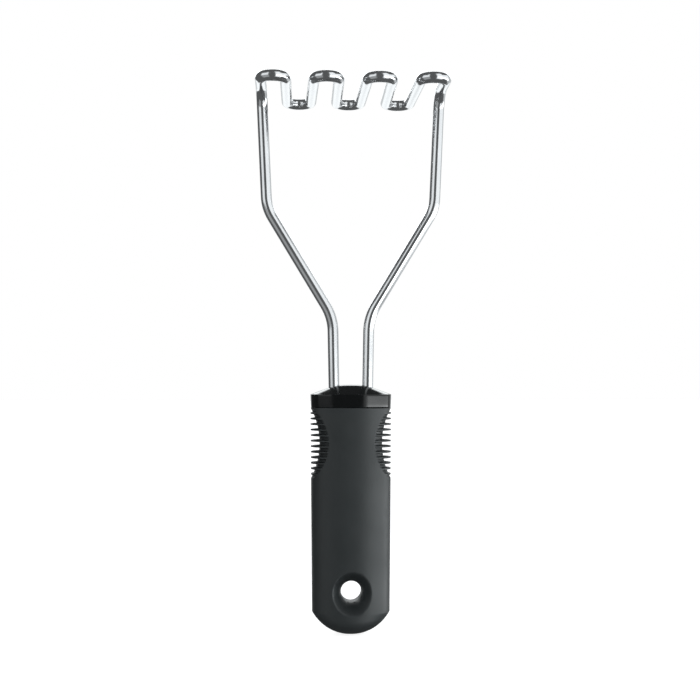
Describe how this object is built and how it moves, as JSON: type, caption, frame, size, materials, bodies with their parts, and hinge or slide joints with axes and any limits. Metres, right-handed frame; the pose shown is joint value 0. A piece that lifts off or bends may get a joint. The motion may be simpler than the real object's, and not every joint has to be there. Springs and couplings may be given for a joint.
{
  "type": "potato masher",
  "caption": "Hand potato masher: a steel wire bent into a flat zigzag head, whose rods run down into a soft oval handle with finned sides and a hang hole.",
  "frame": {"origin": "lowest point of the handle's rounded end, on the handle's axis", "axes": "+Z along the handle to the mashing head, X across the two rods, -Y the front of the handle"},
  "size_m": [0.0866, 0.0586, 0.2494],
  "materials": {
    "steel_wire": "polished stainless steel",
    "collar_plastic": "glossy black hard plastic",
    "grip_rubber": "matt black soft-touch rubber",
    "core_plastic": "plain black hard plastic"
  },
  "bodies": {
    "root": {"wire_frame": "steel_wire", "collar": "collar_plastic", "soft_grip": "grip_rubber", "handle_core": "core_plastic"}
  },
  "joints": []
}
